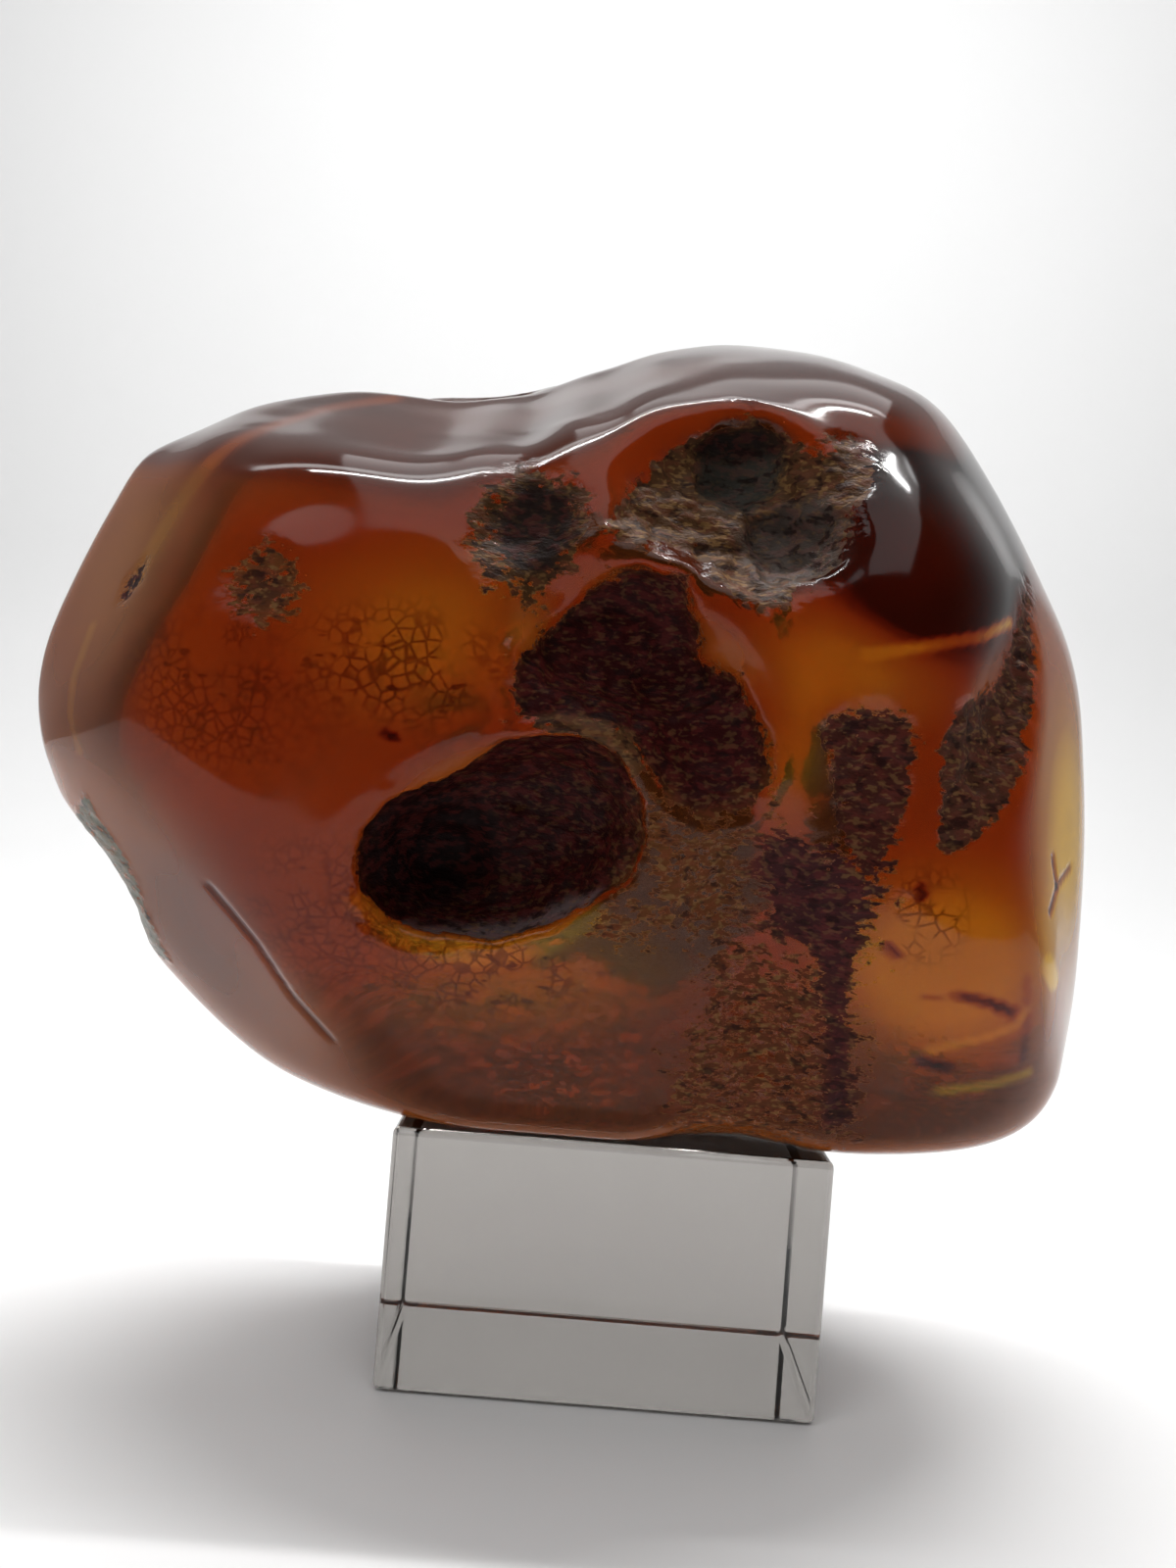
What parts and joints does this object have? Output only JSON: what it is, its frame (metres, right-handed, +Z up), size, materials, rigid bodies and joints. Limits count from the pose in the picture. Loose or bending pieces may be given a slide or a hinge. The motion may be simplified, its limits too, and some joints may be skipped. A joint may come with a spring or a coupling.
{
  "type": "amber nugget on a clear stand",
  "caption": "Polished natural amber nugget with crusted hollows, resting on a plain clear acrylic block that shows it off on a shelf or desk.",
  "frame": {"origin": "centre of the stand's base, on the surface that it stands on", "axes": "+Z up, +X to the right of someone who looks at the nugget's best side, which faces -Y"},
  "size_m": [0.0964, 0.0459, 0.0969],
  "materials": {
    "amber": "polished, with rough brown crust in the hollows",
    "acrylic": "polished clear"
  },
  "bodies": {
    "root": {"amber_nugget": "amber", "acrylic_stand": "acrylic"}
  },
  "joints": []
}
